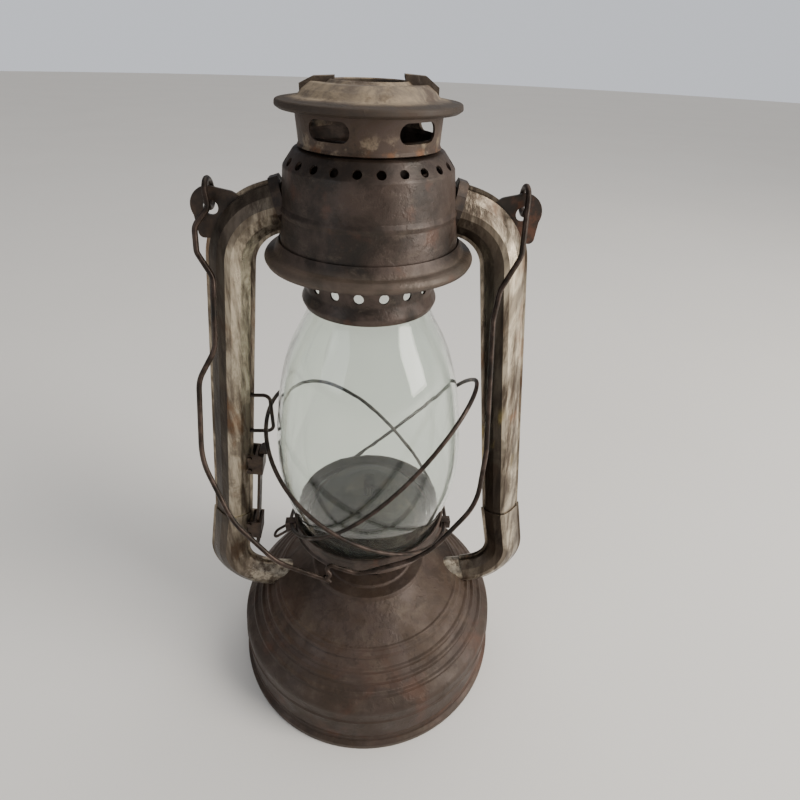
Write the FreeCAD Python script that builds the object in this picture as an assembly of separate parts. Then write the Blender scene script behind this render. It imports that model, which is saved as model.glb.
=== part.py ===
"""A tubular hurricane lantern: fuel tank, two air tubes, air chamber, hood, globe and burner.

Millimetres, +Z up. The origin is on the lantern's upright axis, in the plane of the tank's
bottom seam. The air tubes stand along X, -Y is the front and the filler is at the back.
"""
import FreeCAD, Part
import math
import os

from FreeCAD import Vector

os.makedirs("parts", exist_ok=True)

# ---- driving dimensions --------------------------------------------------------------
SHEET = 0.8                # pressed sheet of the tank, chamber and hood
THIN_SHEET = 0.6           # sheet of the burner and of the air tubes

TANK_R = 69.0              # tank wall
TANK_SEAM_R = 70.8         # rolled seam round the tank's bottom
TANK_WALL_TOP_Z = 30.5
DOME_R, DOME_Z = 51.2, 47.6          # lower rim of the air dome on the tank's shoulder
DOME_STEP_R, DOME_STEP_Z = 30.4, 61.8
DOME_TOP_Z = 65.0
FUEL_DECK_Z = 40.2

COLLAR_R = 12.6            # threaded burner collar
COLLAR_TOP_Z = 67.5

FILLER_R = 7.6
FILLER_REACH = 59.8        # distance of the filler from the lantern's axis
FILLER_TURN = 120.0        # its direction round the axis, in degrees from +X
FILLER_TOP_Z = 57.0

GALLERY_R = 36.7           # plate that carries the globe
GALLERY_BOTTOM_Z, GALLERY_SEAT_Z, GALLERY_RIM_Z = 92.6, 96.4, 101.4
GLOBE_FOOT_R, GLOBE_BELLY_R, GLOBE_MOUTH_R = 33.2, 41.3, 23.4
GLOBE_BELLY_Z, GLOBE_TOP_Z = 138.0, 214.0
GLASS = 1.8

CROWN_BORE_R, CROWN_Z = 11.8, 283.0
LUG_WIDTH, LUG_END_R, LUG_OVERHANG = 6.4, 21.6, 0.9   # tabs on the crown
BRIM_R, BRIM_Z = 29.9, 275.6
HOOD_R, HOOD_FOOT_Z = 23.4, 264.6
HOOD_TOP_R = 24.0          # the band widens a little towards the brim
CHAMBER_TOP_R, CHAMBER_TOP_Z = 28.8, 258.6
CHAMBER_FOOT_R, CHAMBER_FOOT_Z = 31.6, 231.6
SKIRT_R, SKIRT_Z = 37.0, 228.8
CHIMNEY_R = 20.6
CAP_R = 24.0               # perforated globe cap
CAP_BOTTOM_Z, CAP_TOP_Z = 210.4, 230.0

TUBE_HALF_WIDTH, TUBE_HALF_DEPTH, TUBE_LIP = 7.5, 6.4, 1.4
TUBE_START = (28.0, 245.6)           # X and Z on the tube's centre line, inside the chamber
TUBE_BEND = (48.7, 239.3)
TUBE_END = (67.9, 92.0)
TUBE_BEND_R = 22.0
ELBOW_CORNER = (76.2, 53.6)
ELBOW_END = (52.0, 48.4)
ELBOW_R = 20.0
FOOT_PIPE_R = 6.6

EAR_X, EAR_HOLE_Z, EAR_R, EAR_HOLE_R = 54.8, 243.6, 6.8, 2.6
EAR_SHEET = 1.2
BAIL_WIRE_R = 1.0
BAIL_EYE_R = 4.6
BAIL_LEAN = 17.0           # degrees that the hanging bail stands forward of plumb
BAIL_AXIS_Z = EAR_HOLE_Z + BAIL_EYE_R

GUARD_WIRE_R = 0.9
# Each hoop is an oval in plan, and its height swings twice on the way round.
LEFT_HOOP_MIDDLE, LEFT_HOOP_HALF_SIZE = (-3.3, -1.0), (41.6, 47.0)
LEFT_HOOP_HEIGHT = (126.0, 29.5, -3.5, -1.3, -3.2)
RIGHT_HOOP_MIDDLE, RIGHT_HOOP_HALF_SIZE = (3.2, 1.0), (42.3, 46.0)
RIGHT_HOOP_HEIGHT = (127.0, 40.5, 20.0, 5.5, 2.0)
STAPLE_LOW_Z, STAPLE_HIGH_Z = 147.0, 166.0   # legs of the wire staple on the left tube
STAPLE_X, STAPLE_WIRE_R = 42.6, 0.8
LINK_WIRE_R, LINK_LOW_Z = 0.7, 84.5

STRIP_WIDTH, STRIP_SHEET = 7.0, 1.2
STRIP_INWARD = 12.2        # distance of the strip from the tube's centre line
STRIP_LOW_Z, STRIP_HIGH_Z = 74.0, 138.4
FINGER_TAB = 3.4
UPPER_BRACKET_Z, LOWER_BRACKET_Z = 131.0, 88.0
UPPER_BRACKET_HEIGHT, LOWER_BRACKET_HEIGHT = 11.0, 11.0

WICK_WIDTH, WICK_THICK = 12.4, 1.8
CONE_R, CONE_TOP_Z = 29.0, 113.0     # domed deflector over the burner

SPINDLE_X, SPINDLE_Z, SPINDLE_R = 4.4, 76.0, 1.2
KNOB_R, KNOB_Y = 8.0, 45.0

SPRING_COILS, SPRING_ARCS, SPRING_WIRE_R = 4, 8, 0.5

CHAMBER_HOLES, CAP_HOLES, HOOD_SLOTS = 24, 17, 5
PLATE_HOLES = 40
CHAMBER_HOLE_R, CAP_HOLE_R = 1.5, 1.75

UP = Vector(0, 0, 1)
ORIGIN = Vector(0, 0, 0)
SPLAY = math.degrees(math.atan2(TUBE_END[0] - TUBE_BEND[0], TUBE_BEND[1] - TUBE_END[1]))


# ---- outlines and turned sheet -------------------------------------------------------
def rounded_edges(corners):
    """Straight runs joined by tangent arcs, through a list of (point, radius)."""
    edges = []
    last = corners[0][0]
    for (before, _), (corner, radius), (after, _) in zip(corners, corners[1:], corners[2:]):
        heading_in = (corner - before).normalize()
        heading_out = (after - corner).normalize()
        turn = heading_in.getAngle(heading_out)
        if radius < 0.02 or turn < 1e-4:
            edges.append(Part.LineSegment(last, corner).toShape())
            last = corner
            continue
        reach = radius * math.tan(turn / 2)
        arc_start = corner - heading_in * reach
        arc_end = corner + heading_out * reach
        inward = (heading_out - heading_in).normalize()
        arc_middle = corner + inward * (radius / math.cos(turn / 2) - radius)
        if (arc_start - last).Length > 1e-4:
            edges.append(Part.LineSegment(last, arc_start).toShape())
        edges.append(Part.Arc(arc_start, arc_middle, arc_end).toShape())
        last = arc_end
    edges.append(Part.LineSegment(last, corners[-1][0]).toShape())
    return edges


def profile_points(outline):
    """An outline of (radius, height, corner radius) as points in the XZ plane."""
    return [(Vector(r, 0, z), rounding) for r, z, rounding in outline]


def offset_outline(outline, distance):
    """The outline moved sideways by a distance, to the left of its direction."""
    moved = []
    last = len(outline) - 1
    for i, (r, z, rounding) in enumerate(outline):
        here = Vector(r, 0, z)
        sides = []
        for a, b in ((i - 1, i), (i, i + 1)):
            if a < 0 or b > last:
                continue
            run = Vector(outline[b][0] - outline[a][0], 0, outline[b][1] - outline[a][1])
            run.normalize()
            sides.append((run, Vector(-run.z, 0, run.x)))
        if len(sides) == 1:
            shifted = here + sides[0][1] * distance
            moved.append((shifted.x, shifted.z, 0))
            continue
        (run_in, left_in), (run_out, left_out) = sides
        bisector = (left_in + left_out).normalize()
        shifted = here + bisector * (distance / bisector.dot(left_in))
        turns_left = run_in.x * run_out.z - run_in.z * run_out.x > 0
        change = -distance if turns_left else distance
        moved.append((shifted.x, shifted.z, max(0, rounding + change) if rounding else 0))
    return moved


def turned(outline):
    """A solid turned from a closed outline of (radius, height, corner radius)."""
    points = profile_points(outline)
    middle = (points[0][0] + points[-1][0]) * 0.5
    edges = rounded_edges([(middle, 0)] + points + [(middle, 0)])
    return Part.Face(Part.Wire(edges)).revolve(ORIGIN, UP, 360)


def turned_sheet(outline, thickness=SHEET):
    """A turned shell: the outline is one skin, and the wall grows to its left."""
    skin = profile_points(outline)
    lining = profile_points(offset_outline(outline, thickness))
    edges = rounded_edges(skin)
    edges.append(Part.LineSegment(skin[-1][0], lining[-1][0]).toShape())
    edges += rounded_edges(lining)
    edges.append(Part.LineSegment(lining[0][0], skin[0][0]).toShape())
    wire = Part.Wire(Part.sortEdges(edges)[0])
    return Part.Face(wire).revolve(ORIGIN, UP, 360)


def ridged_line(start, end, ridges, half=1.1, rounding=0.9):
    """Corners from start to end, with a ridge of (share of the run, rise) at each share."""
    run = Vector(end[0] - start[0], 0, end[1] - start[1])
    length = run.Length
    run.normalize()
    outward = Vector(run.z, 0, -run.x)
    origin = Vector(start[0], 0, start[1])
    corners = []
    for share, rise in ridges:
        crest = origin + run * (length * share) + outward * rise
        foot_in = origin + run * (length * share - half)
        foot_out = origin + run * (length * share + half)
        corners.append((foot_in.x, foot_in.z, rounding * 0.6))
        corners.append((crest.x, crest.z, rounding))
        corners.append((foot_out.x, foot_out.z, rounding * 0.6))
    return corners


# ---- general shapes ------------------------------------------------------------------
def rod(start, end, radius):
    along = end - start
    return Part.makeCylinder(radius, along.Length, start, along)


def box(low, high):
    size = [h - l for l, h in zip(low, high)]
    return Part.makeBox(size[0], size[1], size[2], Vector(*low))


def spun(shape, degrees):
    copy = shape.copy()
    copy.rotate(ORIGIN, UP, degrees)
    return copy


def ring_of(shape, count, first=0.0):
    """Copies of a shape evenly round the lantern's axis."""
    return [spun(shape, first + 360.0 * i / count) for i in range(count)]


def radial_pegs(radius, height, reach, peg_r, count, first=0.0, tilt=0.0):
    """Round cutters pointing outward round the axis, tilted up by a number of degrees."""
    outward = Vector(math.cos(math.radians(tilt)), 0, math.sin(math.radians(tilt)))
    middle = Vector(radius, 0, height)
    peg = rod(middle - outward * reach, middle + outward * reach, peg_r)
    return ring_of(peg, count, first)


def mirrored(shape):
    return shape.mirror(ORIGIN, Vector(1, 0, 0))


def wire_along(edges, wire_r):
    """Round wire swept along a smooth path."""
    path = Part.Wire(edges)
    first = path.Edges[0]
    start = first.valueAt(first.FirstParameter)
    heading = first.tangentAt(first.FirstParameter)
    section = Part.Wire(Part.makeCircle(wire_r, start, heading))
    return path.makePipeShell([section], True, False)


def wire_through(points, wire_r):
    """Round wire through a list of (X, Y, Z, bend radius)."""
    return wire_along(rounded_edges([(Vector(x, y, z), r) for x, y, z, r in points]), wire_r)


# ---- tank ----------------------------------------------------------------------------
def tank_shell():
    wall_foot, wall_top = (TANK_R, 4.6), (TANK_R - 0.4, TANK_WALL_TOP_Z)
    shoulder_top = (DOME_R - 0.5, DOME_Z - 0.6)
    outline = [(TANK_SEAM_R - 1.5, 0.0, 0), (TANK_SEAM_R, 0.0, 0.6), (TANK_SEAM_R, 3.2, 0.9)]
    outline += [(wall_foot[0], wall_foot[1], 0.6)]
    outline += ridged_line(wall_foot, wall_top, [(0.16, -0.6), (0.68, 0.7)])
    outline += [(wall_top[0], wall_top[1], 4.0)]
    outline += ridged_line(wall_top, shoulder_top, [(0.32, 0.9), (0.56, 0.9), (0.76, 0.9)], half=1.5)
    outline += [(shoulder_top[0], shoulder_top[1], 0)]
    return turned_sheet(outline).cut(filler_blank())


def tank_base():
    """Dished bottom plate, held in the rolled seam, clear of the ground."""
    rim = TANK_SEAM_R - 1.5 - 0.05
    outline = [(0, 2.6, 0), (rim - 7, 2.6, 1.5), (rim - 5, 0.4, 1.0), (rim, 0.4, 0)]
    return turned_sheet(outline)


def fuel_deck():
    """Plate that closes the fuel space under the air dome."""
    rim = DOME_R + 4.6
    deck = turned_sheet([(COLLAR_R, FUEL_DECK_Z, 0), (rim, FUEL_DECK_Z, 0)])
    return deck.cut(filler_blank())


def air_dome():
    """Ribbed dome that gathers the air of both tubes under the burner."""
    step_top = DOME_STEP_Z + 1.9
    outline = [(DOME_R + 0.2, DOME_Z, 0), (DOME_R - 0.6, DOME_Z + 1.2, 0.9)]
    outline += ridged_line((DOME_R - 0.6, DOME_Z + 1.0), (DOME_STEP_R, DOME_STEP_Z),
                           [(0.12, 0.5)])
    outline += [(DOME_STEP_R, DOME_STEP_Z, 0.8), (DOME_STEP_R - 1.0, step_top, 0.8)]
    outline += [(DOME_STEP_R - 6.6, step_top + 0.4, 0.8), (DOME_STEP_R - 7.4, DOME_TOP_Z, 0.7)]
    outline += [(COLLAR_R + 0.05, DOME_TOP_Z + 0.5, 0)]
    dome = turned_sheet(outline)
    slit = box((COLLAR_R + 2.5, -4.5, DOME_TOP_Z - 3), (COLLAR_R + 4.1, 4.5, DOME_TOP_Z + 3))
    return dome.cut(Part.makeCompound(ring_of(slit, 6, 30)))


def burner_collar():
    bore = COLLAR_R - 1.2
    return turned([(bore, FUEL_DECK_Z - 0.5, 0), (COLLAR_R - 0.02, FUEL_DECK_Z - 0.5, 0),
                   (COLLAR_R - 0.02, COLLAR_TOP_Z - 1.8, 0), (COLLAR_R + 0.8, COLLAR_TOP_Z - 1.0, 0.4),
                   (COLLAR_R + 0.8, COLLAR_TOP_Z, 0.4), (bore, COLLAR_TOP_Z, 0)])


# ---- filler --------------------------------------------------------------------------
def filler_direction(shape):
    """Move a shape made on the axis to the filler's place at the back."""
    copy = shape.copy()
    copy.translate(Vector(FILLER_REACH, 0, 0))
    return spun(copy, FILLER_TURN)


def filler_blank():
    return filler_direction(rod(Vector(0, 0, 26), Vector(0, 0, FILLER_TOP_Z), FILLER_R))


def filler_neck():
    neck = turned([(FILLER_R - SHEET, 28.0, 0), (FILLER_R - 0.01, 28.0, 0),
                   (FILLER_R - 0.01, FILLER_TOP_Z, 0), (FILLER_R - SHEET, FILLER_TOP_Z, 0)])
    return filler_direction(neck)


def filler_gasket():
    low, high = FILLER_TOP_Z + 0.1, FILLER_TOP_Z + 1.2
    return filler_direction(turned([(FILLER_R - 1.4, low, 0), (FILLER_R + 0.3, low, 0),
                                    (FILLER_R + 0.3, high, 0), (FILLER_R - 1.4, high, 0)]))


def filler_cap():
    """Milled screw cap."""
    outer, inner, foot = FILLER_R + 2.2, FILLER_R + 0.5, FILLER_TOP_Z - 5.6
    roof = FILLER_TOP_Z + 1.3
    cap = turned([(inner, foot, 0), (outer, foot, 0.4), (outer, roof + 1.6, 1.0),
                  (outer - 3.4, roof + 1.6, 0.8), (outer - 4.2, roof + 2.4, 0.8), (0, roof + 2.4, 0),
                  (0, roof, 0), (inner, roof, 0)])
    groove = rod(Vector(outer + 0.45, 0, foot - 1), Vector(outer + 0.45, 0, roof + 0.2), 0.9)
    return filler_direction(cap.cut(Part.makeCompound(ring_of(groove, 24))))


# ---- air tubes -----------------------------------------------------------------------
def tube_section(scale_by=1.0, lip=TUBE_LIP, grow=0.0):
    """Corners of the tube's lozenge: two pressed halves that meet in a flat lip.

    Returned as (across, deep) with across in the lantern's plane and deep along Y.
    """
    half_width = TUBE_HALF_WIDTH * scale_by + grow
    half_depth = TUBE_HALF_DEPTH * scale_by + grow
    quarter = [(half_width, half_depth * 0.30), (half_width * 0.58, half_depth * 0.74),
               (half_width * 0.14, half_depth)]
    corners = []
    if lip:
        corners.append((half_width + lip, 0.5))
        corners.append((half_width, 0.5))
    corners += quarter
    left = [(-a, d) for a, d in reversed(corners)]
    upper = corners + left
    return upper + [(a, -d) for a, d in reversed(upper)]


def placed_section(corners, at, heading):
    """The section's wire, square to the heading, which lies in the XZ plane."""
    across = Vector(heading.z, 0, -heading.x)
    points = [at + across * a + Vector(0, d, 0) for a, d in corners]
    return Part.makePolygon(points + [points[0]])


def tube_sweep(centre_line, corners):
    """Sweep a section along (X, Z, bend radius) corners in the lantern's plane."""
    points = [(Vector(x, 0, z), r) for x, z, r in centre_line]
    edges = rounded_edges(points)
    heading = (points[1][0] - points[0][0]).normalize()
    sweep = Part.BRepOffsetAPI.MakePipeShell(Part.Wire(edges))
    sweep.setBiNormalMode(Vector(0, 1, 0))
    sweep.add(placed_section(corners, points[0][0], heading))
    sweep.build()
    sweep.makeSolid()
    return sweep.shape()


def tube_line():
    return [(TUBE_START[0], TUBE_START[1], 0), (TUBE_BEND[0], TUBE_BEND[1], TUBE_BEND_R),
            (TUBE_END[0], TUBE_END[1], 0)]


def elbow_line():
    start = point_on_tube(98.0)
    return [(start[0], start[1], 0), (ELBOW_CORNER[0], ELBOW_CORNER[1], ELBOW_R),
            (ELBOW_END[0], ELBOW_END[1], 0)]


def point_on_tube(z):
    """X and Z of the straight run's centre line at a height."""
    share = (TUBE_BEND[1] - z) / (TUBE_BEND[1] - TUBE_END[1])
    return (TUBE_BEND[0] + (TUBE_END[0] - TUBE_BEND[0]) * share, z)


def air_tube():
    outside = tube_sweep(tube_line(), tube_section())
    bore = tube_sweep(tube_line(), tube_section(lip=0, grow=-THIN_SHEET))
    return outside.cut(bore)


def elbow():
    """Pressed elbow that sleeves over the tube's lower end."""
    outside = tube_sweep(elbow_line(), tube_section(1.1))
    bore = tube_sweep(elbow_line(), tube_section(1.1, lip=0, grow=-THIN_SHEET))
    socket = tube_sweep([(TUBE_BEND[0], TUBE_BEND[1], 0), (TUBE_END[0], TUBE_END[1], 0)],
                        tube_section())
    mouth_x = ELBOW_END[0] - 1
    end_plate = box((mouth_x, -9, ELBOW_END[1] - 10), (mouth_x + 2.0, 9, ELBOW_END[1] + 10))
    plate = end_plate.common(tube_sweep(elbow_line(), tube_section(1.1)))
    shell = outside.cut(bore).fuse(plate).cut(socket)
    return shell.cut([foot_pipe_blank(FOOT_PIPE_R), tank_blank(), tank_shell()])


def foot_pipe_blank(radius):
    start = Vector(ELBOW_END[0] + 0.6, 0, ELBOW_END[1])
    end = Vector(DOME_STEP_R + 7.0, 0, ELBOW_END[1] - 0.6)
    return rod(start, end, radius)


def tank_blank():
    """The space taken up by the tank and the dome, with no hollow."""
    return turned([(0, 0, 0), (TANK_R, 0, 0), (TANK_R, TANK_WALL_TOP_Z - 1.0, 3),
                   (DOME_R, DOME_Z + 0.6, 0), (DOME_STEP_R, DOME_STEP_Z + 0.6, 0), (0, DOME_STEP_Z, 0)])


def foot_pipe():
    """Short pipe that leads the elbow's air through the dome."""
    return foot_pipe_blank(FOOT_PIPE_R).cut(foot_pipe_blank(FOOT_PIPE_R - THIN_SHEET))


def ear():
    """Flat ear outside the tube's upper bend, with the hole that the bail hooks into."""
    lobe = Part.makeCylinder(EAR_R, EAR_SHEET, Vector(EAR_X, EAR_SHEET / 2, EAR_HOLE_Z + 0.2),
                             Vector(0, -1, 0))
    web_corners = [(42.0, 246.0, 0), (47.0, 249.0, 3), (EAR_X - 1.0, EAR_HOLE_Z + EAR_R, 3),
                   (EAR_X + EAR_R - 0.4, EAR_HOLE_Z, 3), (60.2, 233.0, 2), (54.0, 233.0, 0), (46.0, 238.0, 0)]
    points = [(Vector(x, EAR_SHEET / 2, z), r) for x, z, r in web_corners]
    middle = (points[0][0] + points[-1][0]) * 0.5
    web = Part.Face(Part.Wire(rounded_edges([(middle, 0)] + points + [(middle, 0)])))
    plate = lobe.fuse(web.extrude(Vector(0, -EAR_SHEET, 0))).removeSplitter()
    hole = Part.makeCylinder(EAR_HOLE_R, 6, Vector(EAR_X, 3, EAR_HOLE_Z), Vector(0, -1, 0))
    return plate.cut(hole).cut(tube_sweep(tube_line(), tube_section()))


def tube_socket():
    """Flange that joins the tube's upper end to the chamber's wall."""
    start = Vector(TUBE_START[0], 0, TUBE_START[1])
    heading = (Vector(TUBE_BEND[0], 0, TUBE_BEND[1]) - start).normalize()
    flange_end = start + heading * 3.4
    line = [(start.x, start.z, 0), (flange_end.x, flange_end.z, 0)]
    blank = tube_sweep(line, tube_section(1.28, lip=0))
    return blank.cut(tube_sweep(tube_line(), tube_section())).cut(chamber_blank())


# ---- air chamber ---------------------------------------------------------------------
def chamber_outline():
    low, high = (CHAMBER_FOOT_R, CHAMBER_FOOT_Z + 3), (CHAMBER_TOP_R, CHAMBER_TOP_Z)
    outline = [(CHAMBER_FOOT_R, CHAMBER_FOOT_Z, 0), (low[0], low[1], 1.0)]
    outline += ridged_line(low, high, [(0.44, 0.6)], half=1.5)
    outline += [(high[0], high[1], 1.6), (HOOD_R + 1.6, HOOD_FOOT_Z - 0.9, 1.2),
                (CHIMNEY_R + 0.5, HOOD_FOOT_Z - 0.5, 0)]
    return outline


def chamber_blank():
    outline = chamber_outline()
    return turned(outline + [(0, HOOD_FOOT_Z, 0), (0, CHAMBER_FOOT_Z, 0)])


def air_chamber():
    """Drum that gathers spent air at the top, with a ring of small vents on its shoulder."""
    shell = turned_sheet(chamber_outline())
    vents = radial_pegs(27.3, 260.4, 4, CHAMBER_HOLE_R, CHAMBER_HOLES, 7.5, tilt=37)
    right = tube_sweep(tube_line(), tube_section(grow=0.02))
    openings = Part.makeCompound(vents + [right, mirrored(right)])
    return shell.cut(openings)


def chamber_skirt():
    """Nearly flat rounded lip round the chamber's foot."""
    outline = [(SKIRT_R - 0.6, SKIRT_Z - 1.2, 0), (SKIRT_R, SKIRT_Z, 0.6),
               (SKIRT_R - 0.7, SKIRT_Z + 1.1, 0.9), (CHAMBER_FOOT_R + 2.0, SKIRT_Z + 1.7, 1.6),
               (CHAMBER_FOOT_R + 0.02, CHAMBER_FOOT_Z + 2.6, 0)]
    right = tube_sweep(tube_line(), tube_section())
    return turned_sheet(outline, -SHEET).cut([right, mirrored(right), pair(tube_socket())])


# ---- hood ----------------------------------------------------------------------------
def hood_band():
    """Band with five wide smoke slots."""
    band = turned_sheet([(HOOD_R + 0.3, HOOD_FOOT_Z, 0), (HOOD_R - 0.2, HOOD_FOOT_Z + 0.9, 0.6),
                         (HOOD_TOP_R, BRIM_Z + 1.6, 0)])
    slot_half_angle = math.radians(18)
    slot_half = HOOD_R * math.sin(slot_half_angle)
    half_height = 2.9
    middle_z = HOOD_FOOT_Z + 6.0
    body = box((HOOD_R - 8, half_height - slot_half, middle_z - half_height),
               (HOOD_R + 5, slot_half - half_height, middle_z + half_height))
    ends = [rod(Vector(HOOD_R - 8, y, middle_z), Vector(HOOD_R + 5, y, middle_z), half_height)
            for y in (half_height - slot_half, slot_half - half_height)]
    slot = body.fuse(ends).removeSplitter()
    front = -90.0
    return band.cut(Part.makeCompound(ring_of(slot, HOOD_SLOTS, front + 40)))


def crown_outline():
    """Outside of the brim and crown, from the brim's edge up to the bore's rim."""
    return [(BRIM_R, BRIM_Z + 0.2, 0.6), (BRIM_R - 0.2, BRIM_Z + 1.9, 0.9),
            (22.6, BRIM_Z + 3.0, 1.2), (21.0, BRIM_Z + 4.8, 1.4), (18.4, CROWN_Z - 0.7, 1.6),
            (CROWN_BORE_R + 1.8, CROWN_Z - 0.9, 0.8), (CROWN_BORE_R + 0.7, CROWN_Z, 0.6),
            (CROWN_BORE_R, CROWN_Z, 0.4)]


def hood_crown():
    """Brim and crown in one pressing, with the flue opening at the top."""
    outline = [(BRIM_R - 1.2, BRIM_Z - 0.6, 0)] + crown_outline() + [(CROWN_BORE_R, CROWN_Z - 2.2, 0)]
    crown = turned_sheet(outline)
    band_space = Part.makeCylinder(HOOD_TOP_R + 0.02, BRIM_Z + 1.6 - HOOD_FOOT_Z, Vector(0, 0, HOOD_FOOT_Z))
    return crown.cut(band_space)


def hood_lug(rise):
    """Bent tab that lies on the crown and reaches a little over the flue opening."""
    top, half = CROWN_Z + rise, LUG_WIDTH / 2
    side = [(CROWN_BORE_R - LUG_OVERHANG, top - 0.9), (CROWN_BORE_R - LUG_OVERHANG, top), (17.6, top - 0.4),
            (LUG_END_R, BRIM_Z + 6.0), (LUG_END_R, BRIM_Z + 3.4), (CROWN_BORE_R - 0.2, CROWN_Z - 0.9)]
    corners = [Vector(r, -half, z) for r, z in side]
    tab = Part.Face(Part.makePolygon(corners + corners[:1])).extrude(Vector(0, LUG_WIDTH, 0))
    crown_space = turned([(0, 200, 0), (BRIM_R, 200, 0)] + crown_outline()[1:] + [(CROWN_BORE_R, 200, 0)])
    return tab.cut(crown_space)


def hood_lugs():
    """Two bent tabs on the crown, where a lifting ring would sit: the left one lies lower."""
    return Part.makeCompound([hood_lug(1.9), mirrored(hood_lug(0.9))])


def chimney_tube():
    """Inner chimney: stands on the globe cap and carries the hood."""
    foot = CAP_TOP_Z + SHEET + 0.02
    outline = [(CAP_R - 1.4, foot, 0), (CHIMNEY_R, foot, 0.8),
               (CHIMNEY_R, HOOD_FOOT_Z - 0.2, 1.4), (HOOD_R - SHEET - 0.55, HOOD_FOOT_Z + 2.0, 0.9),
               (HOOD_R - SHEET - 0.25, HOOD_FOOT_Z + 3.4, 0)]
    return turned_sheet(outline)


def globe_cap():
    """Perforated cap that seats on the globe's mouth."""
    outline = [(CAP_R + 0.8, CAP_BOTTOM_Z, 0), (CAP_R + 1.7, CAP_BOTTOM_Z + 2.1, 1.4),
               (CAP_R, CAP_BOTTOM_Z + 6.1, 2.0), (CAP_R, CAP_TOP_Z, 1.2), (CHIMNEY_R - 2.2, CAP_TOP_Z, 0)]
    cap = turned_sheet(outline)
    holes = radial_pegs(CAP_R, CAP_BOTTOM_Z + 9.6, 4, CAP_HOLE_R, CAP_HOLES, -90 + 12.5)
    return cap.cut(Part.makeCompound(holes))


def hood_spring():
    """Coil spring round the chimney that presses the globe cap down on the globe."""
    low, high = CAP_TOP_Z + 1.5, CHAMBER_TOP_Z + 0.5
    mean_r = CHIMNEY_R + 1.9
    turn = 2 * math.pi / SPRING_ARCS
    corner_r = mean_r / math.cos(turn / 2)
    rise = (high - low) / (SPRING_COILS * SPRING_ARCS)
    corners = [Vector(corner_r * math.cos(turn * i), corner_r * math.sin(turn * i), low + rise * i)
               for i in range(SPRING_COILS * SPRING_ARCS + 1)]
    half_run = (corners[1] - corners[0]).Length / 2
    bend = (corners[1] - corners[0]).getAngle(corners[2] - corners[1])
    arc_r = half_run / math.tan(bend / 2)
    return wire_along(rounded_edges([(corner, arc_r) for corner in corners]), SPRING_WIRE_R)


# ---- globe and its carriage ----------------------------------------------------------
def globe():
    """Pear-shaped glass: a smooth curve through its foot, belly and mouth."""
    skin = [(GLOBE_FOOT_R, GALLERY_SEAT_Z + 0.02), (36.9, 108.0), (GLOBE_BELLY_R - 0.9, 123.0),
            (GLOBE_BELLY_R, GLOBE_BELLY_Z), (38.6, 166.0), (30.0, 195.0), (GLOBE_MOUTH_R + 0.2, 208.5),
            (GLOBE_MOUTH_R - 0.3, GLOBE_TOP_Z)]
    outside, inside = (Part.BSplineCurve() for _ in range(2))
    outside.interpolate([Vector(r, 0, z) for r, z in skin])
    inside.interpolate([Vector(r - GLASS, 0, z) for r, z in skin])
    foot = Part.LineSegment(inside.StartPoint, outside.StartPoint)
    lip = Part.LineSegment(outside.EndPoint, inside.EndPoint)
    wire = Part.Wire([foot.toShape(), outside.toShape(), lip.toShape(), inside.toShape()])
    return Part.Face(wire).revolve(ORIGIN, UP, 360)


def globe_plate():
    """Gallery: a rolled band with an inner seat for the globe."""
    inner = 30.4
    return turned([(inner, GALLERY_SEAT_Z - 2.6, 0), (inner, GALLERY_SEAT_Z, 0),
                   (GALLERY_R - SHEET, GALLERY_SEAT_Z, 0.4), (GALLERY_R - SHEET, GALLERY_RIM_Z - 0.4, 0),
                   (GALLERY_R - SHEET + 0.3, GALLERY_RIM_Z, 0.2), (GALLERY_R + 0.5, GALLERY_RIM_Z, 0.5),
                   (GALLERY_R + 0.5, GALLERY_RIM_Z - 1.4, 0.5), (GALLERY_R, GALLERY_RIM_Z - 2.0, 0.5),
                   (GALLERY_R, GALLERY_BOTTOM_Z + 1.6, 0.6), (GALLERY_R + 0.9, GALLERY_BOTTOM_Z + 0.8, 0.5),
                   (GALLERY_R + 0.9, GALLERY_BOTTOM_Z, 0.4), (GALLERY_R - 1.0, GALLERY_BOTTOM_Z, 0.4),
                   (GALLERY_R - 1.0, GALLERY_SEAT_Z - 0.9, 0.8), (inner + SHEET, GALLERY_SEAT_Z - 0.9, 0.5),
                   (inner + SHEET, GALLERY_SEAT_Z - 2.6, 0)])


def guard_ring(middle, half_size, height, high_side):
    """Closed, hand-bent wire hoop round the globe.

    In plan it is an oval. Its height is a mean, then shares that swing once and twice on the
    way round from the high side, over the front, to the low side and back.
    """
    mean, once_side, once_front, twice_side, twice_front = height
    steps = 24
    points = []
    for i in range(steps):
        angle = 2 * math.pi * i / steps
        x = middle[0] + high_side * half_size[0] * math.cos(angle)
        y = middle[1] - half_size[1] * math.sin(angle)
        z = mean + once_side * math.cos(angle) + once_front * math.sin(angle)
        z += twice_side * math.cos(2 * angle) + twice_front * math.sin(2 * angle)
        points.append(Vector(x, y, z))
    curve = Part.BSplineCurve()
    curve.interpolate(points, PeriodicFlag=True)
    first, last = curve.FirstParameter, curve.LastParameter
    half_way = (first + last) / 2
    front_half = wire_along([curve.toShape(first, half_way)], GUARD_WIRE_R)
    back_half = wire_along([curve.toShape(half_way, last)], GUARD_WIRE_R)
    return front_half.fuse(back_half)


def left_guard_ring():
    return guard_ring(LEFT_HOOP_MIDDLE, LEFT_HOOP_HALF_SIZE, LEFT_HOOP_HEIGHT, -1)


def right_guard_ring():
    return guard_ring(RIGHT_HOOP_MIDDLE, RIGHT_HOOP_HALF_SIZE, RIGHT_HOOP_HEIGHT, 1)


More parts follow.
